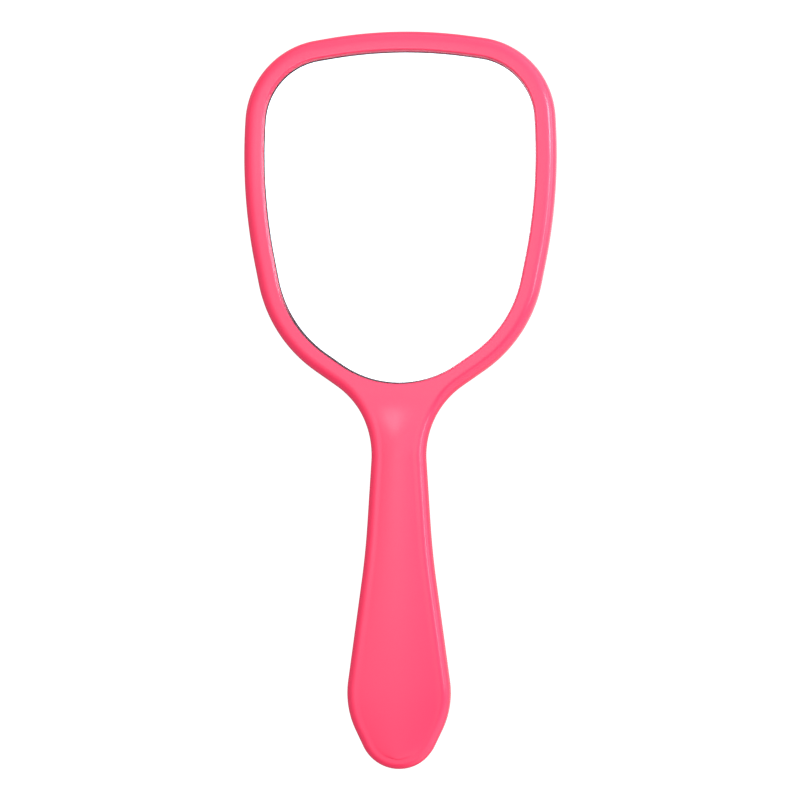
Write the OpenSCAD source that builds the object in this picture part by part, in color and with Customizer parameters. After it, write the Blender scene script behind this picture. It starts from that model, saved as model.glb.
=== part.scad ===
// Salon hand mirror. A two-part moulded body holds a flat glass mirror behind its bezel, and runs
// through a narrow neck into a flared paddle grip.
// It lies on its flat back: +Z is the way the glass faces, +Y runs from the grip to the head.
// The origin is at the middle of the body's length and width, on the surface that it lies on.

/* [Outline] */
// Overall length of the body
body_len = 270; // [264:1:276]
// Width of the head at its widest
head_w = 115; // [110:1:120]
// Length of the head, from its top edge to the corner of the neck
head_len = 139.5; // [137:0.5:142]
// Width of the neck at its narrowest
neck_w = 20; // [18:0.5:23]
// Width of the grip at its widest
grip_w = 38; // [36:0.5:41]
// Radius of the long arc across the top of the head
crown_r = 170; // [150:5:180]
// Radius of the head's two upper corners
shoulder_r = 31; // [28:0.5:32]
// Radius of the long arc down each side of the head
side_r = 200; // [170:5:205]
// Radius of the turn from the side of the head towards the neck
jaw_r = 51; // [46:1:54]
// Radius of the hollow where the head runs into the neck
neck_r = 31; // [26:1:34]
// Radius of the hollow where the neck starts to flare
waist_r = 300; // [100:20:400]
// Radius of the two bulges of the grip
grip_r = 32; // [28:1:36]
// Radius of the tip of the grip
tip_r = 14.5; // [13.5:0.5:15.5]

/* [Body] */
// Thickness of the head along its edges
head_h = 9.2; // [9:0.1:9.6]
// Thickness of the grip along its edges, just below the neck
grip_h = 11.4; // [11:0.1:13]
// How much thinner the edges of the grip are at its tip
tip_drop = 1; // [0:0.1:1.2]
// Crown of the panel down the front of the grip, where the grip is widest
crown_h = 0.8; // [0.2:0.1:1.5]
// Height of the line where the two mouldings meet
split_z = 4.5; // [4.2:0.1:4.8]
// Wall thickness of both mouldings
wall = 2.2; // [2:0.1:2.6]
// Thickness of the back plate
floor_h = 1.8; // [1.5:0.1:2]
// Width of the rounded front edge, on the head
front_roll_head = 4.2; // [3.8:0.1:4.5]
// Width of the rounded front edge, on the grip
front_roll_grip = 3.4; // [3:0.1:4]
// Width of the flat land between the rounded front edge and the crowned panel
land_w = 0.8; // [0.5:0.1:1]
// Width of the rounded back edge, on the head
back_roll_head = 2.6; // [2:0.1:3]
// Width of the rounded back edge, on the grip
back_roll_grip = 4.6; // [3:0.1:5.5]

/* [Mirror] */
// Width of the bezel, from the outline to the opening
bezel_w = 7.7; // [7:0.1:8.2]
// Radius of the lower edge of the opening
chin_r = 37; // [34:1:42]
// Thickness of the glass plate
glass_h = 2; // [1.8:0.1:2.2]
// How far the glass reaches behind the bezel
glass_lap = 1.6; // [1.2:0.1:2]
// Thickness of the bezel's lip in front of the glass
lip_h = 1.8; // [1.6:0.1:2]
// Radius of the rounded inner edge of the lip
lip_r = 0.75; // [0.3:0.05:0.8]
// How far the wall of the opening leans in, from the rounded edge down to the glass
lip_lean = 0.35; // [0.1:0.05:0.4]
// Thickness of the silver layer
silver_h = 0.1; // [0.05:0.05:0.15]
// Thickness of the protective paint behind the silver
paint_h = 0.1; // [0.05:0.05:0.15]
// Thickness of the double-sided tape
tape_h = 0.2; // [0.1:0.05:0.3]
// Number of tape strips
tape_count = 3; // [2:1:4]

/* [Joints] */
// Height of the tongue on the back moulding
tongue_h = 1.2; // [0.8:0.1:1.4]
// Gap left round the tongue
tongue_gap = 0.05; // [0.03:0.01:0.1]
// Number of locating pins along the grip
pin_count = 3; // [2:1:4]
// Radius of the bores in the back moulding's bosses
bore_r = 1.5; // [1.2:0.1:1.8]
// Clearance of each pin in its bore
pin_gap = 0.02; // [0.01:0.01:0.05]
// Outer radius of the bosses
boss_r = 3.4; // [2.8:0.1:3.8]
// Thickness of the stiffening and locating ribs
rib_t = 1.2; // [0.8:0.1:1.5]
// Number of locating ribs round the glass
locator_count = 18; // [12:2:24]

/* [Hidden] */
body_pink = [1, 0.36, 0.5];

top_y = body_len / 2;
tip_y = -body_len / 2;

// Largest turn and largest length of one step round the outline
step_angle = 7;
step_len = 8;

// How far a sharp corner on the axis stands out from its rounding of radius r, where the outline
// leaves it by run across and rise along the axis
function stand_out(r, run, rise) = r * (norm([run, rise]) / run - 1);

// Corners of the right-hand half: their places across are set from the widths of the head, neck and grip
shoulder_x = head_w / 2 - 1.9;
side_x = head_w / 2 + 1.1;
jaw_x = head_w / 2 - 9.4;
neck_x = neck_w / 2 - 1.1;
waist_x = neck_w / 2 + 2.2;
bulge_x = grip_w / 2 + 1;

// Their places along the axis: brow_rise and tip_rise are the slopes up to the apex and down to the tip
brow_rise = 8.6;
tip_rise = 42;
apex_y = top_y + stand_out(crown_r, shoulder_x, brow_rise);
shoulder_y = apex_y - brow_rise;
side_y = top_y - 59.3;
jaw_y = top_y - 112.2;
neck_y = top_y - head_len;
waist_y = neck_y - 51;
point_y = tip_y - stand_out(tip_r, bulge_x, tip_rise);
bulge_y = point_y + tip_rise;

// Each corner of an outline is [x, y, radius of its rounding]
body_corners = [
  [0, apex_y, crown_r],
  [shoulder_x, shoulder_y, shoulder_r],
  [side_x, side_y, side_r],
  [jaw_x, jaw_y, jaw_r],
  [neck_x, neck_y, neck_r],
  [waist_x, waist_y, waist_r],
  [bulge_x, bulge_y, grip_r],
  [0, point_y, tip_r]
];

// The head's own outline runs on from the jaw, straight to a chin on the axis
chin_y = jaw_y - jaw_x * (jaw_y - neck_y) / (jaw_x - neck_x);
head_corners = [for (i = [0 : 4]) i < 4 ? body_corners[i] : [0, chin_y, chin_r + bezel_w]];
head_mid_y = top_y - 66;

// ---- Outlines -------------------------------------------------------------------------------

function heading(a, b) = atan2(b[1] - a[1], b[0] - a[0]);
function wrapped(angle) = angle > 180 ? angle - 360 : angle < -180 ? angle + 360 : angle;
function flipped(p) = [-p[0], p[1], p[2]];
function blend(a, b, t) = a + (b - a) * t;

// Stations along the rounding of one corner, each [x, y, outward normal x, outward normal y]
function corner_stations(before, at, after, first, last) =
  let (
    start_angle = heading(before, at),
    turn = wrapped(heading(at, after) - start_angle),
    radius = at[2],
    reach = radius * tan(abs(turn) / 2),
    start = [at[0] - reach * cos(start_angle), at[1] - reach * sin(start_angle)],
    centre = start + sign(turn) * radius * [-sin(start_angle), cos(start_angle)],
    arc_len = radius * abs(turn) * PI / 180,
    steps = 2 * ceil(max(abs(turn) / step_angle, arc_len / step_len) / 2)
  )
  [
    for (i = [first * steps : last * steps])
    let (angle = start_angle + turn * i / steps, out = [-sin(angle), cos(angle)])
    concat(centre - sign(turn) * radius * out, out)
  ];

// The straight stretches between roundings, divided into steps too
function divided(stations) = [
  for (i = [0 : len(stations) - 1])
  let (
    a = stations[i],
    b = stations[min(i + 1, len(stations) - 1)],
    steps = max(1, ceil(norm([b[0] - a[0], b[1] - a[1]]) / step_len))
  )
  for (k = [0 : steps - 1])
  blend(a, b, k / steps)
];

// Stations down the right-hand half of an outline, from the axis at its top to the axis at its foot
function half_outline(corners) =
  let (last = len(corners) - 1)
  divided([
    for (i = [0 : last])
    each corner_stations(
      i == 0 ? flipped(corners[1]) : corners[i - 1],
      corners[i],
      i == last ? flipped(corners[last - 1]) : corners[i + 1],
      i == 0 ? 0.5 : 0,
      i == last ? 0.5 : 1
    )
  ]);

// Both halves, clockwise seen from the front
function both_sides(points) = concat(
  points,
  [for (i = [len(points) - 2 : -1 : 1]) [for (k = [0 : len(points[i]) - 1]) k == 0 ? -points[i][k] : points[i][k]]]
);

function moved_in(half, inset) = [for (s = half) [s[0] - inset * s[2], s[1] - inset * s[3]]];

body_half = half_outline(body_corners);
head_half = half_outline(head_corners);

module body_shape(inset) {
  polygon(both_sides(moved_in(body_half, inset)));
}

// The head alone, closed at the chin
module head_shape(inset) {
  polygon(both_sides(moved_in(head_half, inset)));
}

// A straight-sided slab of a flat shape, between two heights
module slab(low, high) {
  translate([0, 0, low])
    linear_extrude(height = high - low)
      children();
}

// ---- Heights along the body -----------------------------------------------------------------

// The ramp from the head up to the grip starts ramp_lead above the chin and is ramp_len long
ramp_lead = 15.2;
ramp_len = 25;
ramp_top_y = chin_y + ramp_lead;
ramp_foot_y = ramp_top_y - ramp_len;
ramp_mid_y = (ramp_top_y + ramp_foot_y) / 2;
crest_y = -30;
roll_aspect = 0.92;

function eased(t) = let (u = min(max(t, 0), 1)) u * u * (3 - 2 * u);

// 0 on the head, 1 on the grip
function gripness(y) = eased((ramp_top_y - y) / (ramp_top_y - ramp_foot_y));
function tip_share(y) = pow(max(0, (crest_y - y) / (crest_y - tip_y)), 2);
function edge_z(y) = blend(head_h, grip_h, gripness(y)) - tip_drop * tip_share(y);
function front_roll_w(y) = blend(front_roll_head, front_roll_grip, gripness(y));
function front_roll_h(y) = roll_aspect * front_roll_w(y);
function back_roll_w(y) = blend(back_roll_head, back_roll_grip, gripness(y));

// Rise of the crowned panel over the land beside it, where the panel is 2 * half_w wide
function crown_z(y, half_w) =
  crown_h * gripness(y) * sqrt(half_w / (grip_w / 2 - front_roll_grip - land_w));

// ---- Lofted solids --------------------------------------------------------------------------

// The parting line is a shallow groove, and the side walls lean in by a moulding draft
groove = 0.25;
draft = 0.15;
back_roll_h = 3.2;
roll_steps = 4;
crown_columns = 6;

// One ring through the stations of a half outline: inset_at and z_at give its inset and height at y
function ring(half, inset_at, z_at) = both_sides([
  for (s = half)
  let (inset = inset_at(s[1]), y = s[1] - inset * s[3])
  [s[0] - inset * s[2], y, z_at(y)]
]);

// Rows of points across the inside of a ring, raised in the middle by rise_at(y, half-width of the row)
function rows_inside(edge, columns, rise_at) =
  let (count = len(edge))
  [
    for (i = [1 : count / 2 - 1])
    for (c = [1 : columns - 1])
    let (p = edge[i], t = 1 - 2 * c / columns)
    [p[0] * t, p[1], p[2] + rise_at(p[1], p[0]) * (1 - t * t)]
  ];

// Triangles over a ring, row by row, from the right-hand edge to the left-hand edge.
// first is the number of the ring's first point, and inner that of the first point inside it.
function covered(first, count, inner, columns) =
  let (
    rows = count / 2 - 1,
    at = function (row, c)
      row == 0 || row > rows ? first + (row == 0 ? 0 : count / 2)
      : c == 0 ? first + row
      : c == columns ? first + count - row
      : inner + (row - 1) * (columns - 1) + c - 1
  )
  [
    for (row = [0 : rows])
    for (c = [0 : columns - 1])
    each concat(
      row == rows ? [] : [[at(row, c), at(row + 1, c), at(row + 1, c + 1)]],
      row == 0 ? [] : [[at(row, c), row == rows ? at(row + 1, c) : at(row + 1, c + 1), at(row, c + 1)]]
    )
  ];

function reversed(face) = [face[0], face[2], face[1]];

// A closed solid through a stack of rings, lowest first: flat underneath, crowned on top
module stacked(rings, columns, rise_at) {
  count = len(rings[0]);
  top = len(rings) - 1;
  points = concat(
    [for (r = rings) each r],
    rows_inside(rings[top], columns, rise_at)
  );
  walls = [
    for (r = [0 : top - 1])
    for (i = [0 : count - 1])
    let (a = r * count + i, b = r * count + (i + 1) % count)
    each [[a, b, b + count], [a, b + count, a + count]]
  ];
  underside = [for (face = covered(0, count, 0, 1)) reversed(face)];
  upside = covered(top * count, count, len(rings) * count, columns);
  polyhedron(points = points, faces = concat(underside, walls, upside));
}

// Outer form of the front moulding: parting groove, side wall, rounded edge, land and crowned panel
module front_form() {
  stacked(
    concat(
      [
        ring(body_half, function (y) groove, function (y) split_z),
        ring(body_half, function (y) 0, function (y) split_z + groove)
      ],
      [
        for (i = [0 : roll_steps])
        let (angle = 90 * i / roll_steps)
        ring(
          body_half,
          function (y) blend(front_roll_w(y), draft, cos(angle)),
          function (y) edge_z(y) - front_roll_h(y) * (1 - sin(angle))
        )
      ],
      [ring(body_half, function (y) front_roll_w(y) + land_w, function (y) edge_z(y))]
    ),
    crown_columns,
    function (y, half_w) crown_z(y, half_w)
  );
}

// Outer form of the back moulding: flat back, rounded edge, side wall and parting groove
module back_form() {
  stacked(
    concat(
      [
        for (i = [0 : roll_steps])
        let (angle = 90 * i / roll_steps)
        ring(
          body_half,
          function (y) blend(back_roll_w(y), draft, sin(angle)),
          function (y) back_roll_h * (1 - cos(angle))
        )
      ],
      [
        ring(body_half, function (y) 0, function (y) split_z - groove),
        ring(body_half, function (y) groove, function (y) split_z)
      ]
    ),
    1,
    function (y, half_w) 0
  );
}

// ---- Heights of the mirror stack ------------------------------------------------------------

lip_z = head_h - lip_h;
glass_z = lip_z - glass_h;
silver_z = glass_z - silver_h;
paint_z = silver_z - paint_h;

// Cuts the opening: straight at the glass, leaning outwards through the lip, rounded at its front edge
module opening_cut() {
  edge_in = bezel_w - lip_lean;
  stacked(
    concat(
      [
        ring(head_half, function (y) bezel_w, function (y) lip_z - 1),
        ring(head_half, function (y) bezel_w, function (y) lip_z)
      ],
      [
        for (i = [0 : roll_steps])
        let (angle = 90 * i / roll_steps)
        ring(
          head_half,
          function (y) edge_in - lip_r * (1 - cos(angle)),
          function (y) head_h - lip_r * (1 - sin(angle))
        )
      ],
      [ring(head_half, function (y) edge_in - lip_r, function (y) head_h + 1)]
    ),
    1,
    function (y, half_w) 0
  );
}

// ---- Inside of the body ---------------------------------------------------------------------

grip_ceiling_z = grip_h - tip_drop - 1.8;
boss_top_z = 6.3;
seat_gap = 0.1;
weld = 0.3;
tongue_in = wall / 2;
locator_gap = 0.15;
locator_z = split_z + tongue_h + 2 * seat_gap;
glass_in = bezel_w - glass_lap;

pin_first_y = ramp_foot_y - 8;
pin_last_y = bulge_y + 8;
function pin_y(i) = blend(pin_first_y, pin_last_y, i / (pin_count - 1));

module at_each_pin() {
  for (i = [0 : pin_count - 1])
    translate([0, pin_y(i), 0])
      children();
}

// A lengthwise rib down the grip, with a cross rib between each two bosses and one near the tip
module grip_rib_plan() {
  intersection() {
    body_shape(wall - weld);
    union() {
      translate([-rib_t / 2, tip_y])
        square([rib_t, ramp_mid_y - tip_y]);
      for (i = [0.5 : pin_count - 0.5])
        translate([-grip_w, pin_y(i) - rib_t / 2])
          square([2 * grip_w, rib_t]);
    }
  }
}

// Short ribs that stand round the glass, under the bezel, and keep it centred
module locator_plan() {
  intersection() {
    difference() {
      head_shape(wall - weld);
      head_shape(glass_in - locator_gap);
    }
    translate([0, head_mid_y])
      for (i = [0 : locator_count - 1])
        rotate(360 * (i + 0.5) / locator_count)
          translate([0, -rib_t / 2])
            square([head_len, rib_t]);
  }
}

module pins() {
  at_each_pin() {
    translate([0, 0, floor_h + 1])
      cylinder(h = grip_ceiling_z + weld - floor_h - 1, r = bore_r - pin_gap, $fn = 48);
    translate([0, 0, boss_top_z + seat_gap])
      cylinder(h = grip_ceiling_z + weld - boss_top_z - seat_gap, r = boss_r, $fn = 48);
  }
}

module bosses() {
  at_each_pin()
    translate([0, 0, floor_h - weld])
      cylinder(h = boss_top_z - floor_h + weld, r = boss_r, $fn = 48);
}

module bores() {
  at_each_pin()
    translate([0, 0, floor_h])
      cylinder(h = boss_top_z, r = bore_r, $fn = 48);
}

// ---- Pieces ---------------------------------------------------------------------------------

module front_shell() {
  color(body_pink) {
    difference() {
      front_form();
      slab(split_z - 1, lip_z)
        body_shape(wall);
      slab(split_z - 1, grip_ceiling_z)
        intersection() {
          body_shape(wall);
          translate([-grip_w, tip_y])
            square([2 * grip_w, ramp_mid_y - tip_y]);
        }
      slab(split_z - 1, split_z + tongue_h + seat_gap)
        body_shape(tongue_in - tongue_gap);
      opening_cut();
    }
    slab(locator_z, lip_z + weld)
      locator_plan();
    pins();
  }
}

module rear_shell() {
  color(body_pink)
    difference() {
      union() {
        difference() {
          back_form();
          slab(floor_h, split_z + 1)
            body_shape(wall);
        }
        slab(split_z - groove, split_z + tongue_h)
          difference() {
            body_shape(tongue_in);
            body_shape(wall);
          }
        slab(floor_h - weld, split_z - groove)
          grip_rib_plan();
        bosses();
      }
      bores();
    }
}

module mirror_glass() {
  color([0.86, 0.93, 0.92])
    slab(glass_z, lip_z)
      head_shape(glass_in);
}

module silver_coating() {
  color([0.8, 0.81, 0.82])
    slab(silver_z, glass_z)
      head_shape(glass_in);
}

module backing_paint() {
  color([0.36, 0.4, 0.42])
    slab(paint_z, silver_z)
      head_shape(glass_in);
}

module foam_pad() {
  color([0.16, 0.16, 0.17])
    slab(floor_h + tape_h, paint_z)
      head_shape(glass_in + 2.5);
}

// Strips across the head, evenly spaced down its length
module tape_strips() {
  strip_len = 60;
  strip_w = 12;
  spacing = 32;
  color("white")
    for (i = [0 : tape_count - 1])
      translate([-strip_len / 2, head_mid_y + spacing * (i - (tape_count - 1) / 2) - strip_w / 2, floor_h])
        cube([strip_len, strip_w, tape_h]);
}

front_shell();
rear_shell();
mirror_glass();
silver_coating();
backing_paint();
foam_pad();
tape_strips();
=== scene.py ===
import math

import bmesh
import bpy
from mathutils import Matrix, Vector, noise


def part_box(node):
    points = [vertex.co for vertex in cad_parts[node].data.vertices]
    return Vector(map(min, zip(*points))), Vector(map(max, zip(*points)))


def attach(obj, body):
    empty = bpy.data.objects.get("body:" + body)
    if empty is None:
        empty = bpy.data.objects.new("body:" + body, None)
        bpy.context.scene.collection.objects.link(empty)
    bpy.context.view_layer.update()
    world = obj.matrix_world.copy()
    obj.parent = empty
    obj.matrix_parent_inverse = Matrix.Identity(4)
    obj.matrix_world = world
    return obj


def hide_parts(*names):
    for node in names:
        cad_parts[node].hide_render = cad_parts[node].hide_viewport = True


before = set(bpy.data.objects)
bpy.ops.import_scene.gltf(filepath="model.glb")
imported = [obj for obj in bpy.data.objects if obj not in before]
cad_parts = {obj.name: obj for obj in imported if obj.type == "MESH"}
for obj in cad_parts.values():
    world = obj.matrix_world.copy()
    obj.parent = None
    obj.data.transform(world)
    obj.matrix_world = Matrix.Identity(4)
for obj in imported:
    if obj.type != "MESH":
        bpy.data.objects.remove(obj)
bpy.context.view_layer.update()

MM = 0.001

# ---- Sizes that the frame gives ---------------------------------------------------------------

SHELL_LOW, SHELL_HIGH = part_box("front_shell")
GLASS_LOW, GLASS_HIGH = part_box("mirror_glass")
FOAM_LOW, FOAM_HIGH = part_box("foam_pad")
TAPE_LOW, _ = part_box("tape_strips")

TOP_Y = SHELL_HIGH.y
TIP_Y = SHELL_LOW.y
LIP_Z = GLASS_HIGH.z
FLOOR_Z = TAPE_LOW.z

# ---- The outline ------------------------------------------------------------------------------

HEAD_W = 115 * MM
HEAD_LEN = 139.5 * MM
NECK_W = 20 * MM
GRIP_W = 38 * MM

CROWN_R = 170 * MM
SHOULDER_R = 31 * MM
SIDE_R = 200 * MM
JAW_R = 51 * MM
NECK_R = 31 * MM
WAIST_R = 300 * MM
BULGE_R = 32 * MM
TIP_R = 14.5 * MM
CHIN_R = 37 * MM
BEZEL_W = 7.7 * MM
GLASS_LAP = 1.6 * MM

# Largest turn, in degrees, and largest length of one step round the outline
STEP_ANGLE = 1.5
STEP_LEN = 1.4 * MM


def stand_out(radius, run, rise):
    """How far a corner on the axis stands out from its rounding."""
    return radius * (math.hypot(run, rise) / run - 1)


def body_corners():
    """Right-hand corners of the body, from the top to the tip: x, y and the radius of the rounding."""
    shoulder_x = HEAD_W / 2 - 1.9 * MM
    brow_rise = 8.6 * MM
    apex_y = TOP_Y + stand_out(CROWN_R, shoulder_x, brow_rise)
    neck_y = TOP_Y - HEAD_LEN
    bulge_x = GRIP_W / 2 + 1 * MM
    tip_rise = 42 * MM
    point_y = TIP_Y - stand_out(TIP_R, bulge_x, tip_rise)
    return [
        (0, apex_y, CROWN_R),
        (shoulder_x, apex_y - brow_rise, SHOULDER_R),
        (HEAD_W / 2 + 1.1 * MM, TOP_Y - 59.3 * MM, SIDE_R),
        (HEAD_W / 2 - 9.4 * MM, TOP_Y - 112.2 * MM, JAW_R),
        (NECK_W / 2 - 1.1 * MM, neck_y, NECK_R),
        (NECK_W / 2 + 2.2 * MM, neck_y - 51 * MM, WAIST_R),
        (bulge_x, point_y + tip_rise, BULGE_R),
        (0, point_y, TIP_R),
    ]


def head_corners(body):
    """The head's own outline: past the jaw it runs on straight to a chin on the axis."""
    jaw, neck = body[3], body[4]
    chin_y = jaw[1] - jaw[0] * (jaw[1] - neck[1]) / (jaw[0] - neck[0])
    return body[:4] + [(0, chin_y, CHIN_R + BEZEL_W)]


def flipped(corner):
    return (-corner[0],) + tuple(corner[1:])


def blend(a, b, t):
    return a + (b - a) * t


def corner_stations(before, at, after, first, last):
    """Stations along the rounding of one corner: x, y and the outward normal."""
    start_angle = math.atan2(at[1] - before[1], at[0] - before[0])
    end_angle = math.atan2(after[1] - at[1], after[0] - at[0])
    turn = (end_angle - start_angle + math.pi) % (2 * math.pi) - math.pi
    side = math.copysign(1, turn)
    radius = at[2]
    reach = radius * math.tan(abs(turn) / 2)
    centre_x = at[0] - reach * math.cos(start_angle) - side * radius * math.sin(start_angle)
    centre_y = at[1] - reach * math.sin(start_angle) + side * radius * math.cos(start_angle)
    longest = max(abs(turn) / math.radians(STEP_ANGLE), radius * abs(turn) / STEP_LEN)
    steps = 2 * math.ceil(longest / 2)
    made = []
    for i in range(round(first * steps), round(last * steps) + 1):
        angle = start_angle + turn * i / steps
        out = (-math.sin(angle), math.cos(angle))
        made.append((centre_x - side * radius * out[0], centre_y - side * radius * out[1], *out))
    return made


def half_outline(corners):
    """Stations down the right-hand half of an outline, the straight stretches divided too."""
    stations = []
    final = len(corners) - 1
    for i, corner in enumerate(corners):
        before = flipped(corners[1]) if i == 0 else corners[i - 1]
        after = flipped(corners[final - 1]) if i == final else corners[i + 1]
        arc = corner_stations(before, corner, after, 0.5 if i == 0 else 0, 0.5 if i == final else 1)
        if stations:
            gap = math.hypot(arc[0][0] - stations[-1][0], arc[0][1] - stations[-1][1])
            steps = math.ceil(gap / STEP_LEN)
            start = stations[-1]
            for k in range(1, steps):
                stations.append(tuple(blend(a, b, k / steps) for a, b in zip(start, arc[0])))
        stations += arc
    return stations


def respaced(stations, count):
    """The same line, with count stations evenly spaced along it."""
    run = [0.0]
    for a, b in zip(stations, stations[1:]):
        run.append(run[-1] + math.hypot(b[0] - a[0], b[1] - a[1]))
    made = []
    k = 0
    for i in range(count):
        goal = run[-1] * i / (count - 1)
        while k < len(run) - 2 and run[k + 1] < goal:
            k += 1
        t = (goal - run[k]) / (run[k + 1] - run[k])
        made.append(tuple(blend(a, b, t) for a, b in zip(stations[k], stations[k + 1])))
    return made


BODY = body_corners()
HEAD = head_corners(BODY)
CHIN_Y = HEAD[-1][1]

# ---- Heights along the body -------------------------------------------------------------------

LIP_H = 1.8 * MM
GRIP_SKIN = 1.8 * MM
HEAD_H = LIP_Z + LIP_H
GRIP_H = 11.4 * MM
TIP_DROP = 1 * MM
CROWN_H = 0.8 * MM
GRIP_CEILING_Z = GRIP_H - TIP_DROP - GRIP_SKIN
RAMP_TOP_Y = CHIN_Y + 15.2 * MM
RAMP_LEN = 25 * MM
CREST_Y = -30 * MM

SPLIT_Z = 4.5 * MM
WALL = 2.2 * MM
GROOVE = 0.25 * MM
DRAFT = 0.15 * MM
LAND_W = 0.8 * MM
FRONT_ROLL_HEAD = 4.2 * MM
FRONT_ROLL_GRIP = 3.4 * MM
BACK_ROLL_HEAD = 2.6 * MM
BACK_ROLL_GRIP = 4.6 * MM
BACK_ROLL_H = 3.2 * MM
ROLL_ASPECT = 0.92
LIP_R = 0.75 * MM
LIP_LEAN = 0.35 * MM
TONGUE_IN = WALL / 2
TONGUE_H = 1.2 * MM
TONGUE_GAP = 0.05 * MM
TONGUE_Z = SPLIT_Z + TONGUE_H
SEAT_GAP = 0.1 * MM

# Inside the body: pins, bosses and ribs run a weld's depth into what carries them
PINS = 3
PIN_R = 1.48 * MM
PIN_END_GAP = 8 * MM
PIN_FOOT_GAP = 1 * MM
BORE_R = 1.5 * MM
BOSS_R = 3.4 * MM
BOSS_TOP_Z = 6.3 * MM
RIB_T = 1.2 * MM
LOCATORS = 18
LOCATOR_GAP = 0.15 * MM
WELD = 0.3 * MM
TURNED_SIDES = 48

ROLL_STEPS = 14
LIP_STEPS = 6
FOAM_STEPS = 8
HALF_COLUMNS = 12


def gripness(y):
    """0 on the head, 1 on the grip."""
    u = min(max((RAMP_TOP_Y - y) / RAMP_LEN, 0), 1)
    return u * u * (3 - 2 * u)


def edge_z(y):
    tip_share = max(0, (CREST_Y - y) / (CREST_Y - TIP_Y)) ** 2
    return blend(HEAD_H, GRIP_H, gripness(y)) - TIP_DROP * tip_share


def ceiling_z(y):
    return blend(LIP_Z, GRIP_CEILING_Z, gripness(y))


def front_roll_w(y):
    return blend(FRONT_ROLL_HEAD, FRONT_ROLL_GRIP, gripness(y))


def back_roll_w(y):
    return blend(BACK_ROLL_HEAD, BACK_ROLL_GRIP, gripness(y))


def crown_z(y, half_w):
    full_w = GRIP_W / 2 - FRONT_ROLL_GRIP - LAND_W
    return CROWN_H * gripness(y) * math.sqrt(half_w / full_w)


# ---- Lofted skins -----------------------------------------------------------------------------


class Skin:
    """Points and faces of one closed surface, made of rings through the stations of a half outline."""

    def __init__(self):
        self.points = []
        self.faces = []
        # Share of painted shade at each point, by index
        self.crevice_shade = {}

    def point(self, x, y, z):
        self.points.append((x, y, z))
        return len(self.points) - 1

    def ring(self, half, inset_at, z_at):
        """Both sides of a half outline, moved in: down the right-hand side and up the left-hand side."""
        moved = []
        for x, y, out_x, out_y in half:
            inset = inset_at(y)
            moved.append((x - inset * out_x, y - inset * out_y))
        right = [self.point(x, y, z_at(y)) for x, y in moved]
        left = [self.point(-x, y, z_at(y)) for x, y in reversed(moved[1:-1])]
        return right + left

    def band(self, a, b):
        """Faces between two closed rings of as many points."""
        for i in range(len(a)):
            j = (i + 1) % len(a)
            self.faces.append((a[i], a[j], b[j], b[i]))

    def bands(self, rings):
        for a, b in zip(rings, rings[1:]):
            self.band(a, b)

    def line(self, a, b, columns, rise):
        """Points from a to b, both among them, raised in the middle."""
        start, end = Vector(self.points[a]), Vector(self.points[b])
        made = [a]
        for c in range(1, columns):
            x, y, z = start.lerp(end, c / columns)
            made.append(self.point(x, y, z + rise * (1 - (1 - 2 * c / columns) ** 2)))
        return made + [b]

    def sheet(self, rows):
        """Faces between rows of points, leaving out those with no area."""
        for a, b in zip(rows, rows[1:]):
            for i in range(len(a) - 1):
                corners = []
                for corner in (a[i], a[i + 1], b[i + 1], b[i]):
                    if corner not in corners:
                        corners.append(corner)
                if len(corners) > 2:
                    self.faces.append(tuple(corners))

    def cover(self, ring, first, columns, rise_at, top_row=None):
        """Rows from side to side over a ring, from station first down to the tip."""
        half = len(ring) // 2
        rows = [top_row] if top_row else [[ring[0]] * (columns + 1)]
        for i in range(first + 1, half):
            x, y, z = self.points[ring[i]]
            rows.append(self.line(ring[i], ring[-i], columns, rise_at(y, x)))
        rows.append([ring[half]] * (columns + 1))
        self.sheet(rows)

    def face_round_opening(self, ring, opening, rise_at):
        """A face between a ring and an opening in its head, whose chin is level with the last pairs."""
        last = len(opening) // 2
        lines = []
        for i in range(-last, last + 1):
            hole = opening[i] if abs(i) < last else opening[last]
            lines.append(self.line(ring[i], hole, HALF_COLUMNS, 0))
        self.sheet(lines)
        top_row = lines[-1] + lines[0][-2::-1]
        self.cover(ring, last, 2 * HALF_COLUMNS, rise_at, top_row)

    def add_prism(self, outline, low, high):
        """A straight-sided block over a closed flat outline."""
        bottom = [self.point(x, y, low) for x, y in outline]
        top = [self.point(x, y, high) for x, y in outline]
        self.band(bottom, top)
        self.faces.append(tuple(bottom))
        self.faces.append(tuple(top))

    def add_turned(self, y, profile, hollow):
        """A turned body about a vertical axis at y, from a profile of radius and height.

        A hollow one closes on itself and has no caps.
        """
        rings = []
        for radius, z in profile:
            turns = [2 * math.pi * i / TURNED_SIDES for i in range(TURNED_SIDES)]
            rings.append([self.point(radius * math.cos(a), y + radius * math.sin(a), z) for a in turns])
        if hollow:
            rings.append(rings[0])
        else:
            self.faces += [tuple(rings[0]), tuple(rings[-1])]
        self.bands(rings)

    def piece(self, name, material, sharp_angle=28):
        """The finished object: normals outward, smooth except along sharp edges."""
        mesh = bpy.data.meshes.new(name)
        mesh.from_pydata(self.points, [], self.faces)
        stored = mesh.attributes.new("crevice_shade", "FLOAT", "POINT")
        for i, share in self.crevice_shade.items():
            stored.data[i].value = share
        built = bmesh.new()
        built.from_mesh(mesh)
        bmesh.ops.recalc_face_normals(built, faces=built.faces)
        for face in built.faces:
            face.smooth = True
        for edge in built.edges:
            edge.smooth = edge.calc_face_angle(math.pi) < math.radians(sharp_angle)
        built.to_mesh(mesh)
        built.free()
        mesh.materials.append(material)
        made = bpy.data.objects.new(name, mesh)
        bpy.context.scene.collection.objects.link(made)
        return made


def flat(value):
    """A height or an inset that is the same all along the body."""
    return lambda y: value


def no_rise(y, half_w):
    return 0


# ---- Materials --------------------------------------------------------------------------------

PINK = (1.0, 0.034, 0.103)
PINK_LIGHT = (0.98, 0.038, 0.11)
# Painted shade: near-black red for the corner at the foot of the opening's wall
PAINTED_SHADE = (0.06, 0.008, 0.014)

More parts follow.
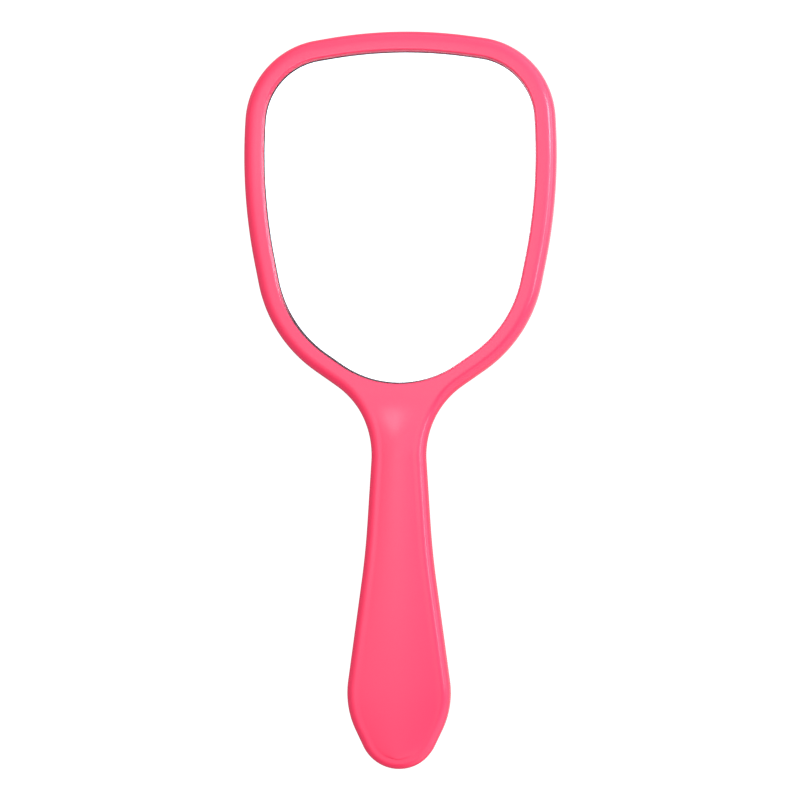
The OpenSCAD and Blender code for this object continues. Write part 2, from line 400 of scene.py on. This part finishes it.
# The colour inputs of a Mix node share their names with others, so they are found by identifier
MIX_SOCKETS = ("Factor_Float", "A_Color", "B_Color")


class Nodes:
    """A node material, with short calls that make and link its nodes."""

    def __init__(self, name):
        self.material = bpy.data.materials.new(name)
        self.material.use_nodes = True
        self.tree = self.material.node_tree
        self.shader = self.tree.nodes["Principled BSDF"]
        self.place = self.tree.nodes.new("ShaderNodeTexCoord").outputs["Object"]

    def set(self, **values):
        for name, value in values.items():
            self.shader.inputs[name.replace("_", " ")].default_value = value

    def link(self, source, target):
        self.tree.links.new(source, target)

    def noise(self, scale, detail=2.0, stretch=(1, 1, 1)):
        """Noise with features of about 1/scale metres."""
        mapping = self.tree.nodes.new("ShaderNodeMapping")
        mapping.inputs["Scale"].default_value = stretch
        self.link(self.place, mapping.inputs["Vector"])
        made = self.tree.nodes.new("ShaderNodeTexNoise")
        made.inputs["Scale"].default_value = scale
        made.inputs["Detail"].default_value = detail
        self.link(mapping.outputs["Vector"], made.inputs["Vector"])
        return made.outputs["Fac"]

    def scratches(self, scale, turn, share):
        """Fine straight scratches at one angle, over a small share of the surface."""
        turned = self.tree.nodes.new("ShaderNodeMapping")
        turned.inputs["Rotation"].default_value = (0, 0, math.radians(turn))
        turned.inputs["Scale"].default_value = (1, 0.03, 1)
        self.link(self.place, turned.inputs["Vector"])
        made = self.tree.nodes.new("ShaderNodeTexNoise")
        made.inputs["Scale"].default_value = scale
        made.inputs["Detail"].default_value = 1
        self.link(turned.outputs["Vector"], made.inputs["Vector"])
        return self.between(made.outputs["Fac"], 1 - share, 1 - share / 2, 0, 1)

    def between(self, value, low, high, to_low, to_high):
        made = self.tree.nodes.new("ShaderNodeMapRange")
        made.inputs["From Min"].default_value = low
        made.inputs["From Max"].default_value = high
        made.inputs["To Min"].default_value = to_low
        made.inputs["To Max"].default_value = to_high
        self.link(value, made.inputs["Value"])
        return made.outputs["Result"]

    def math(self, operation, a, b):
        made = self.tree.nodes.new("ShaderNodeMath")
        made.operation = operation
        for socket, value in zip(made.inputs, (a, b)):
            if isinstance(value, (int, float)):
                socket.default_value = value
            else:
                self.link(value, socket)
        return made.outputs[0]

    def colours(self, value, low, high):
        made = self.tree.nodes.new("ShaderNodeMix")
        made.data_type = "RGBA"
        factor, a, b = (next(s for s in made.inputs if s.identifier == name) for name in MIX_SOCKETS)
        for socket, colour in ((a, low), (b, high)):
            if isinstance(colour, tuple):
                socket.default_value = (*colour, 1)
            else:
                self.link(colour, socket)
        self.link(value, factor)
        return next(s for s in made.outputs if s.identifier == "Result_Color")

    def stored(self, name):
        made = self.tree.nodes.new("ShaderNodeAttribute")
        made.attribute_name = name
        return made.outputs["Fac"]

    def bump(self, height, depth, strength=1.0):
        made = self.tree.nodes.new("ShaderNodeBump")
        made.inputs["Strength"].default_value = strength
        made.inputs["Distance"].default_value = depth
        self.link(height, made.inputs["Height"])
        self.link(made.outputs["Normal"], self.shader.inputs["Normal"])

    def edges(self):
        """1 on surfaces that lean away from the flat faces, 0 on the flat faces."""
        normal = self.tree.nodes.new("ShaderNodeTexCoord").outputs["Normal"]
        split = self.tree.nodes.new("ShaderNodeSeparateXYZ")
        self.link(normal, split.inputs["Vector"])
        lean = self.math("ABSOLUTE", split.outputs["Z"], 0)
        return self.between(lean, 0.98, 0.6, 0, 1)


def pink_plastic():
    """Glossy moulded plastic: faint orange peel, hairline scratches, duller where hands rub it, and
    painted shade in the corner at the glass.
    """
    nodes = Nodes("pink_plastic")
    nodes.set(IOR=1.59)
    cloud = nodes.noise(45, 3)
    crevice_shade = nodes.stored("crevice_shade")
    unshaded = nodes.colours(cloud, PINK, PINK_LIGHT)
    # Painted shade: the stored share mixes the base colour towards near-black red at the foot of the
    # opening's wall, and makes it rougher there
    nodes.link(nodes.colours(crevice_shade, unshaded, PAINTED_SHADE), nodes.shader.inputs["Base Color"])
    scuffs = nodes.math("MAXIMUM", nodes.scratches(700, 24, 0.3), nodes.scratches(620, -51, 0.3))
    rubbed = nodes.math("MULTIPLY", nodes.edges(), nodes.noise(160, 4))
    wear = nodes.math("ADD", nodes.math("MULTIPLY", scuffs, 0.05), nodes.math("MULTIPLY", rubbed, 0.06))
    smudges = nodes.between(nodes.noise(28, 4), 0.35, 0.7, 0.12, 0.17)
    dull = nodes.math("MULTIPLY", crevice_shade, 0.4)
    nodes.link(nodes.math("ADD", nodes.math("ADD", smudges, wear), dull), nodes.shader.inputs["Roughness"])
    peel = nodes.math("ADD", nodes.noise(260, 1), nodes.math("MULTIPLY", scuffs, -0.12))
    nodes.bump(peel, 0.012 * MM, 0.6)
    return nodes.material


def mirror_glass():
    """Clear float glass with a faint green cast and a trace of finger haze."""
    nodes = Nodes("clear_float_glass")
    nodes.set(Transmission_Weight=1.0, IOR=1.52)
    cast = nodes.noise(30, 2)
    colour = nodes.colours(cast, (0.95, 0.985, 0.97), (0.96, 0.99, 0.975))
    nodes.link(colour, nodes.shader.inputs["Base Color"])
    nodes.link(nodes.between(nodes.noise(60, 5), 0.55, 0.8, 0.0, 0.02), nodes.shader.inputs["Roughness"])
    nodes.bump(nodes.noise(12, 1), 0.002 * MM, 0.3)
    return nodes.material


def silver_layer():
    """Bright silver, a little duller in spots."""
    nodes = Nodes("silver_layer")
    nodes.set(Metallic=1.0)
    spots = nodes.noise(220, 4)
    colour = nodes.colours(spots, (0.93, 0.94, 0.93), (0.95, 0.955, 0.95))
    nodes.link(colour, nodes.shader.inputs["Base Color"])
    nodes.link(nodes.between(nodes.noise(90, 3), 0.5, 0.8, 0.01, 0.03), nodes.shader.inputs["Roughness"])
    nodes.bump(spots, 0.001 * MM, 0.2)
    return nodes.material


def back_paint():
    """Matte grey protective paint, rolled on."""
    nodes = Nodes("grey_back_paint")
    nap = nodes.noise(900, 4, (1, 0.3, 1))
    colour = nodes.colours(nap, (0.09, 0.11, 0.125), (0.12, 0.14, 0.155))
    nodes.link(colour, nodes.shader.inputs["Base Color"])
    nodes.link(nodes.between(nap, 0.3, 0.7, 0.55, 0.75), nodes.shader.inputs["Roughness"])
    nodes.bump(nap, 0.03 * MM)
    return nodes.material


def black_foam():
    """Black foam, with the cells that its cut surface shows."""
    nodes = Nodes("black_foam")
    cells = nodes.tree.nodes.new("ShaderNodeTexVoronoi")
    cells.inputs["Scale"].default_value = 1400
    nodes.link(nodes.place, cells.inputs["Vector"])
    pores = nodes.between(cells.outputs["Distance"], 0.1, 0.5, 0, 1)
    colour = nodes.colours(pores, (0.006, 0.006, 0.007), (0.03, 0.03, 0.033))
    nodes.link(colour, nodes.shader.inputs["Base Color"])
    nodes.link(nodes.between(nodes.noise(500, 3), 0.3, 0.7, 0.85, 1.0), nodes.shader.inputs["Roughness"])
    nodes.bump(pores, 0.25 * MM)
    return nodes.material


def white_tape():
    """Double-sided tape with a woven carrier."""
    nodes = Nodes("white_tape")
    waves = []
    for direction in ("X", "Y"):
        wave = nodes.tree.nodes.new("ShaderNodeTexWave")
        wave.bands_direction = direction
        wave.inputs["Scale"].default_value = 520
        nodes.link(nodes.place, wave.inputs["Vector"])
        waves.append(wave.outputs["Fac"])
    weave = nodes.math("MAXIMUM", *waves)
    colour = nodes.colours(weave, (0.7, 0.69, 0.66), (0.82, 0.81, 0.79))
    nodes.link(colour, nodes.shader.inputs["Base Color"])
    nodes.link(nodes.between(nodes.noise(300, 3), 0.3, 0.7, 0.5, 0.7), nodes.shader.inputs["Roughness"])
    nodes.bump(weave, 0.05 * MM)
    return nodes.material


# ---- Pieces -----------------------------------------------------------------------------------


# Painted shade: the corner between the glass and the bezel is coloured dark, mostly at the lower left
HEAD_MID_Y = TOP_Y - 66 * MM
SHADE_SIDE = Vector((-0.35, -0.94))
SHADE_FROM = 0.75
SHADE_FADE = 0.17


def opening_rings(skin, half):
    """The opening's edge, from the bezel's face round its lip and down its leaning wall to the glass."""
    rings = []
    for i in range(LIP_STEPS + 1):
        angle = math.pi / 2 * (1 - i / LIP_STEPS)
        inset = BEZEL_W - LIP_LEAN - LIP_R * (1 - math.cos(angle))
        rings.append(skin.ring(half, flat(inset), flat(HEAD_H - LIP_R * (1 - math.sin(angle)))))
    rings.append(skin.ring(half, flat(BEZEL_W), flat(LIP_Z)))
    # Painted shade: the lowest rings of the opening's wall take a share of near-black colour, strongest at
    # the lower left
    for i in rings[-4] + rings[-3] + rings[-2] + rings[-1]:
        x, y, z = skin.points[i]
        away = Vector((x, y - HEAD_MID_Y)).normalized().dot(SHADE_SIDE)
        skin.crevice_shade[i] = min(max((away - SHADE_FROM) / SHADE_FADE, 0), 1)
    return rings


def paired_with_body(body_half):
    """The head's outline with as many stations as the body's has down to the level of its chin."""
    head_half = half_outline(HEAD)
    chin_level = head_half[-1][1] + BEZEL_W - LIP_LEAN - LIP_R
    same = 0.01 * MM
    shared = max(i for i, (a, b) in enumerate(zip(body_half, head_half)) if math.dist(a, b) < same)
    inset = FRONT_ROLL_HEAD + LAND_W
    level = next(i for i, s in enumerate(body_half) if i > shared and s[1] - inset * s[3] < chin_level)
    return head_half[:shared] + respaced(head_half[shared:], level - shared + 1)


def roll_angles():
    return [math.pi / 2 * i / ROLL_STEPS for i in range(ROLL_STEPS + 1)]


def front_roll_ring(skin, half, angle):
    """One ring of the rounded front edge: 0 at the side wall, a right angle at the face."""
    return skin.ring(
        half,
        lambda y: blend(front_roll_w(y), DRAFT, math.cos(angle)),
        lambda y: edge_z(y) - ROLL_ASPECT * front_roll_w(y) * (1 - math.sin(angle)),
    )


def back_roll_ring(skin, half, angle):
    """One ring of the rounded back edge: 0 at the flat back, a right angle at the side wall."""
    return skin.ring(
        half,
        lambda y: blend(back_roll_w(y), DRAFT, math.sin(angle)),
        flat(BACK_ROLL_H * (1 - math.cos(angle))),
    )


def boxed(x_low, x_high, y_low, y_high):
    return [(x_low, y_low), (x_high, y_low), (x_high, y_high), (x_low, y_high)]


def pin_places():
    """Where the pins stand along the grip, from below the ramp to above the bulge."""
    bulge_y = BODY[-2][1]
    first = RAMP_TOP_Y - RAMP_LEN - PIN_END_GAP
    last = bulge_y + PIN_END_GAP
    return [blend(first, last, i / (PINS - 1)) for i in range(PINS)]


def add_pins(skin):
    """Pins under the front moulding, each with a shoulder that stands on its boss."""
    shoulder_z = BOSS_TOP_Z + SEAT_GAP
    root_z = GRIP_CEILING_Z + WELD
    foot_z = FLOOR_Z + PIN_FOOT_GAP
    for y in pin_places():
        profile = [(PIN_R, foot_z), (PIN_R, shoulder_z), (BOSS_R, shoulder_z), (BOSS_R, root_z)]
        skin.add_turned(y, profile, False)


def add_bosses(skin):
    """Bored bosses on the back moulding, which the pins stand in."""
    root_z = FLOOR_Z - WELD
    for y in pin_places():
        profile = [(BOSS_R, root_z), (BOSS_R, BOSS_TOP_Z), (BORE_R, BOSS_TOP_Z), (BORE_R, root_z)]
        skin.add_turned(y, profile, True)


def add_grip_ribs(skin, half):
    """Ribs on the back moulding: lengthwise between the bosses, and across the grip between them."""
    low, high = FLOOR_Z - WELD, SPLIT_Z - GROOVE
    places = pin_places()
    spacing = places[0] - places[1]
    tops = [RAMP_TOP_Y - RAMP_LEN / 2] + [y - BOSS_R + WELD for y in places]
    feet = [y + BOSS_R - WELD for y in places] + [TIP_Y + WALL - WELD]
    for top, foot in zip(tops, feet):
        skin.add_prism(boxed(-RIB_T / 2, RIB_T / 2, foot, top), low, high)
    for place in places:
        y = place - spacing / 2
        x, _, out_x, _ = min(half, key=lambda s: abs(s[1] - y) if s[1] < RAMP_TOP_Y else 1)
        end = x - (WALL - WELD) * out_x
        for side in (-1, 1):
            ends = sorted((side * (RIB_T / 2 - 0.1 * MM), side * end))
            skin.add_prism(boxed(*ends, y - RIB_T / 2, y + RIB_T / 2), low, high)


def ray_length(line, start, along):
    """How far a ray from start runs before it crosses a line of points."""
    for a, b in zip(line, line[1:]):
        step = b - a
        across = along.cross(step)
        if abs(across) > 1e-12:
            distance = (a - start).cross(step) / across
            share = (a - start).cross(along) / across
            if distance > 0 and 0 <= share <= 1:
                return distance
    return 0


def add_locators(skin):
    """Short ribs round the glass, from the side wall almost to its edge."""
    half = half_outline(HEAD)
    lines = []
    for inset in (WALL - WELD, BEZEL_W - GLASS_LAP - LOCATOR_GAP):
        right = [Vector((x - inset * out_x, y - inset * out_y)) for x, y, out_x, out_y in half]
        lines.append(right + [Vector((-p.x, p.y)) for p in reversed(right)])
    low = TONGUE_Z + 2 * SEAT_GAP
    for i in range(LOCATORS):
        angle = 2 * math.pi * (i + 0.5) / LOCATORS
        along = Vector((math.cos(angle), math.sin(angle)))
        aside = Vector((-along.y, along.x)) * RIB_T / 2
        corners = []
        for line, sides in ((lines[0], (-1, 1)), (lines[1], (1, -1))):
            for side in sides:
                start = Vector((0, HEAD_MID_Y)) + side * aside
                corners.append(tuple(start + along * ray_length(line, start, along)))
        skin.add_prism(corners, low, LIP_Z + WELD)


def make_front(material):
    skin = Skin()
    half = half_outline(BODY)
    head = paired_with_body(half)
    rebate = TONGUE_IN - TONGUE_GAP
    rings = [
        skin.ring(half, flat(WALL), ceiling_z),
        skin.ring(half, flat(WALL), flat(TONGUE_Z + SEAT_GAP)),
        skin.ring(half, flat(rebate), flat(TONGUE_Z + SEAT_GAP)),
        skin.ring(half, flat(rebate), flat(SPLIT_Z)),
        skin.ring(half, flat(GROOVE), flat(SPLIT_Z)),
        skin.ring(half, flat(0), flat(SPLIT_Z + GROOVE)),
    ]
    rings += [front_roll_ring(skin, half, angle) for angle in roll_angles()]
    rings.append(skin.ring(half, lambda y: front_roll_w(y) + LAND_W, edge_z))
    skin.bands(rings)
    lip = opening_rings(skin, head)
    skin.bands(lip)
    skin.face_round_opening(rings[-1], lip[0], crown_z)
    skin.face_round_opening(rings[0], lip[-1], no_rise)
    add_locators(skin)
    add_pins(skin)
    return skin.piece("front_moulding", material)


def make_rear(material):
    skin = Skin()
    half = half_outline(BODY)
    rings = [back_roll_ring(skin, half, angle) for angle in roll_angles()]
    rings += [
        skin.ring(half, flat(0), flat(SPLIT_Z - GROOVE)),
        skin.ring(half, flat(GROOVE), flat(SPLIT_Z)),
        skin.ring(half, flat(TONGUE_IN), flat(SPLIT_Z)),
        skin.ring(half, flat(TONGUE_IN), flat(TONGUE_Z)),
        skin.ring(half, flat(WALL), flat(TONGUE_Z)),
        skin.ring(half, flat(WALL), flat(FLOOR_Z)),
    ]
    skin.bands(rings)
    skin.cover(rings[0], 0, 8, no_rise)
    skin.cover(rings[-1], 0, 8, no_rise)
    add_grip_ribs(skin, half)
    add_bosses(skin)
    return skin.piece("rear_moulding", material)


def make_glass(material):
    """The plate, with seamed edges. It reaches just into the silver, so no air is left between."""
    skin = Skin()
    half = half_outline(HEAD)
    inset = BEZEL_W - GLASS_LAP
    seam = 0.2 * MM
    sunk = 0.01 * MM
    rings = [
        skin.ring(half, flat(inset + seam), flat(GLASS_LOW.z - sunk)),
        skin.ring(half, flat(inset), flat(GLASS_LOW.z + seam)),
        skin.ring(half, flat(inset), flat(GLASS_HIGH.z - seam)),
        skin.ring(half, flat(inset + seam), flat(GLASS_HIGH.z)),
    ]
    skin.bands(rings)
    skin.cover(rings[0], 0, 4, no_rise)
    skin.cover(rings[-1], 0, 4, no_rise)
    return skin.piece("glass_plate", material)


def make_foam(material):
    """The pad under the glass, with soft edges and the uneven surface of cut foam."""
    skin = Skin()
    half = half_outline(HEAD)
    inset = BEZEL_W - GLASS_LAP + 2.5 * MM
    soft = 0.7 * MM
    rings = []
    middle = (FOAM_LOW.z + FOAM_HIGH.z) / 2
    rise = (FOAM_HIGH.z - FOAM_LOW.z) / 2
    for i in range(FOAM_STEPS + 1):
        angle = math.pi * i / FOAM_STEPS
        edge = inset + soft * (1 - math.sin(angle))
        rings.append(skin.ring(half, flat(edge), flat(middle - rise * math.cos(angle))))
    skin.bands(rings)
    skin.cover(rings[0], 0, 24, no_rise)
    skin.cover(rings[-1], 0, 24, no_rise)
    pit = 0.12 * MM
    for i, (x, y, z) in enumerate(skin.points):
        depth = pit * abs(noise.noise(Vector((x, y, z)) / (2.5 * MM)))
        skin.points[i] = (x, y, z - math.copysign(depth, z - middle))
    return skin.piece("foam_cushion", material, 60)


# ---- Assembly ---------------------------------------------------------------------------------

PLASTIC = pink_plastic()


def add(piece, node):
    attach(piece, "root")
    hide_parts(node)


foam = make_foam(black_foam())
add(make_front(PLASTIC), "front_shell")
add(make_rear(PLASTIC), "rear_shell")
add(make_glass(mirror_glass()), "mirror_glass")
add(foam, "foam_pad")

for node, material in (
    ("silver_coating", silver_layer()),
    ("backing_paint", back_paint()),
    ("tape_strips", white_tape()),
):
    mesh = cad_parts[node].data
    mesh.materials.clear()
    mesh.materials.append(material)

# ---- Studio -----------------------------------------------------------------------------------

# The camera stands a little to the right of the glass's own axis
CAMERA_DISTANCE = 717.7 * MM
CAMERA_YAW = 5.78
CAMERA_PITCH = 0.95
CAMERA_AIM = Vector((-0.2 * MM, 0.25 * MM, 0))
LENS = 87.5
WHITE = (1, 1, 1, 1)
LIGHT_COLOUR = (1, 1, 1.12, 1)
AMBIENT = 0.25
BACKGROUND_SEEN = 1.05

# All the levels below were tuned to the look of the object; no real light was measured.
# Radiance inside the light tent: for each elevation, at each of these azimuths from left to right
TENT_AZIMUTHS = (-90, -70, -45, -20, -6, 6, 20, 60, 90)
TENT = {
    -80: (0.15, 0.15, 0.15, 0.2, 0.2, 0.2, 0.3, 0.5, 0.5),
    -64: (0.2, 0.2, 0.25, 0.25, 0.25, 0.4, 0.8, 1.2, 1.2),
    -48: (0.2, 0.2, 0.3, 0.5, 0.6, 0.7, 1.0, 1.3, 1.3),
    -36: (0.25, 0.25, 0.35, 0.8, 1.3, 1.3, 1.3, 1.3, 1.3),
    -26: (0.3, 0.3, 0.45, 0.85, 1.1, 0.9, 0.8, 1.2, 1.3),
    -20: (0.3, 0.3, 0.5, 0.95, 1.05, 0.7, 0.55, 0.9, 1.0),
    -13: (0.3, 0.35, 0.6, 1.25, 1.55, 1.05, 0.65, 1.0, 1.2),
    -3: (0.3, 0.4, 0.65, 1.4, 2.1, 1.7, 1.15, 1.6, 2.1),
    15: (0.3, 0.45, 0.8, 1.5, 1.75, 1.75, 1.65, 2.7, 3.6),
    32: (0.3, 0.45, 0.85, 1.2, 1.3, 1.3, 1.3, 1.8, 2.4),
    60: (0.4, 0.7, 1.0, 1.25, 1.25, 1.25, 1.25, 1.5, 2.0),
    88: (1.3, 1.3, 1.3, 1.3, 1.3, 1.3, 1.3, 1.4, 1.5),
}
TENT_DISTANCE = 1.0
STRIP_AZIMUTHS = (43, 50, 58)
STRIP = {-14: 1.6, -6: 4.8, 5: 5.0, 12: 10.5, 20: 11.5, 28: 7.0}
STRIP_DISTANCE = 0.95
LAMP_AZIMUTHS = (-16, -8, 0)
LAMP = {12.5: (1.9, 1.9, 1.9), 16.5: (1.9, 5.2, 1.9), 20.5: (1.9, 1.9, 1.9)}
LAMP_DISTANCE = 0.6

FLOOR_SIZE = 3.0
FLOOR_DROP = 0.3 * MM

# The floor's glow: as the camera sees it, as it lights rough surfaces, and in reflections, where it
# rises from the level on the left to the others along X and along Y: start, length of rise and level
FLOOR_SEEN = 1.0
FLOOR_DIFFUSE = 0.6
FLOOR_LEFT = 0.15
FLOOR_RISES = {"X": (10 * MM, 60 * MM, 1.0), "Y": (100 * MM, 20 * MM, 0.4)}


def direction(azimuth, elevation):
    """Unit vector that leans from +Z towards +X by azimuth and towards +Y by elevation, in degrees."""
    a, e = math.radians(azimuth), math.radians(elevation)
    return Vector((math.sin(a) * math.cos(e), math.sin(e), math.cos(a) * math.cos(e)))


def make_camera():
    made = bpy.data.objects.new("camera", bpy.data.cameras.new("camera"))
    bpy.context.scene.collection.objects.link(made)
    made.data.lens = LENS
    place = direction(CAMERA_YAW, CAMERA_PITCH) * CAMERA_DISTANCE
    ahead = (CAMERA_AIM - place).normalized()
    right = ahead.cross(Vector((0, 1, 0))).normalized()
    up = right.cross(ahead)
    turned = Matrix((right, up, -ahead)).transposed()
    made.matrix_world = Matrix.Translation(place) @ turned.to_4x4()
    bpy.context.scene.camera = made


def glow_material():
    """Shines with the radiance stored at each point of a panel."""
    material = bpy.data.materials.new("glow")
    material.use_nodes = True
    tree = material.node_tree
    tree.nodes.clear()
    stored = tree.nodes.new("ShaderNodeAttribute")
    stored.attribute_name = "radiance"
    shine = tree.nodes.new("ShaderNodeEmission")
    shine.inputs["Color"].default_value = LIGHT_COLOUR
    output = tree.nodes.new("ShaderNodeOutputMaterial")
    tree.links.new(stored.outputs["Fac"], shine.inputs["Strength"])
    tree.links.new(shine.outputs[0], output.inputs["Surface"])
    return material


def panel(name, material, azimuths, elevations, radiances, distance):
    """A glowing panel round the mirror, unseen by the camera: a row of radiances for each elevation."""
    mesh = bpy.data.meshes.new(name)
    across = len(azimuths)
    places = [direction(a, e) * distance for e in elevations for a in azimuths]
    faces = []
    for j in range(len(elevations) - 1):
        for i in range(across - 1):
            corner = j * across + i
            faces.append((corner, corner + across, corner + across + 1, corner + 1))
    mesh.from_pydata(places, [], faces)
    stored = mesh.attributes.new("radiance", "FLOAT", "POINT")
    stored.data.foreach_set("value", [value for row in radiances for value in row])
    mesh.materials.append(material)
    made = bpy.data.objects.new(name, mesh)
    made.visible_camera = False
    bpy.context.scene.collection.objects.link(made)


def make_lights():
    """A light tent, with a tall strip light on the right and a lamp above the middle of its front."""
    glow = glow_material()
    panel("light_tent", glow, TENT_AZIMUTHS, list(TENT), list(TENT.values()), TENT_DISTANCE)
    strip = [(value, value, value) for value in STRIP.values()]
    panel("strip_light", glow, STRIP_AZIMUTHS, list(STRIP), strip, STRIP_DISTANCE)
    panel("lamp", glow, LAMP_AZIMUTHS, list(LAMP), list(LAMP.values()), LAMP_DISTANCE)


def floor_glow(tree):
    """How strongly the floor shines: evenly, except in reflections."""
    split = tree.nodes.new("ShaderNodeSeparateXYZ")
    tree.links.new(tree.nodes.new("ShaderNodeTexCoord").outputs["Object"], split.inputs["Vector"])
    brighter = tree.nodes.new("ShaderNodeMath")
    brighter.operation = "MAXIMUM"
    for i, (axis, (start, length, level)) in enumerate(FLOOR_RISES.items()):
        side = tree.nodes.new("ShaderNodeMapRange")
        side.inputs["From Min"].default_value = start
        side.inputs["From Max"].default_value = start + length
        side.inputs["To Min"].default_value = FLOOR_LEFT
        side.inputs["To Max"].default_value = level
        tree.links.new(split.outputs[axis], side.inputs["Value"])
        tree.links.new(side.outputs["Result"], brighter.inputs[i])
    shine = brighter.outputs[0]
    path = tree.nodes.new("ShaderNodeLightPath")
    for kind, level in (("Is Diffuse Ray", FLOOR_DIFFUSE), ("Is Camera Ray", FLOOR_SEEN)):
        mixed = tree.nodes.new("ShaderNodeMix")
        mixed.inputs["B"].default_value = level
        tree.links.new(path.outputs[kind], mixed.inputs["Factor"])
        tree.links.new(shine, mixed.inputs["A"])
        shine = mixed.outputs["Result"]
    return shine


def make_floor():
    """A dark floor that looks pale because it shines. From below it isn't there, to show the back."""
    mesh = bpy.data.meshes.new("floor")
    built = bmesh.new()
    bmesh.ops.create_grid(built, x_segments=8, y_segments=8, size=FLOOR_SIZE / 2)
    built.to_mesh(mesh)
    built.free()
    made = bpy.data.objects.new("floor", mesh)
    made.location.z = -FLOOR_DROP
    bpy.context.scene.collection.objects.link(made)
    material = bpy.data.materials.new("floor")
    material.use_nodes = True
    tree = material.node_tree
    shader = tree.nodes["Principled BSDF"]
    shader.inputs["Base Color"].default_value = (0.12, 0.12, 0.12, 1)
    shader.inputs["Roughness"].default_value = 0.9
    shader.inputs["Specular IOR Level"].default_value = 0.0
    shader.inputs["Emission Color"].default_value = WHITE
    tree.links.new(floor_glow(tree), shader.inputs["Emission Strength"])
    clear = tree.nodes.new("ShaderNodeBsdfTransparent")
    mixed = tree.nodes.new("ShaderNodeMixShader")
    tree.links.new(tree.nodes.new("ShaderNodeNewGeometry").outputs["Backfacing"], mixed.inputs["Fac"])
    tree.links.new(shader.outputs[0], mixed.inputs[1])
    tree.links.new(clear.outputs[0], mixed.inputs[2])
    tree.links.new(mixed.outputs[0], tree.nodes["Material Output"].inputs["Surface"])
    mesh.materials.append(material)


def make_world():
    """Even, dim light all round, and a white background that only the camera sees."""
    world = bpy.data.worlds.new("studio")
    bpy.context.scene.world = world
    world.use_nodes = True
    tree = world.node_tree
    background = tree.nodes["Background"]
    seen = tree.nodes.new("ShaderNodeLightPath").outputs["Is Camera Ray"]
    level = tree.nodes.new("ShaderNodeMapRange")
    level.inputs["To Min"].default_value = AMBIENT
    level.inputs["To Max"].default_value = BACKGROUND_SEEN
    tree.links.new(seen, level.inputs["Value"])
    tree.links.new(level.outputs[0], background.inputs["Strength"])
    background.inputs["Color"].default_value = WHITE


make_camera()
make_floor()
make_world()
make_lights()
bpy.context.scene.view_settings.view_transform = "Standard"
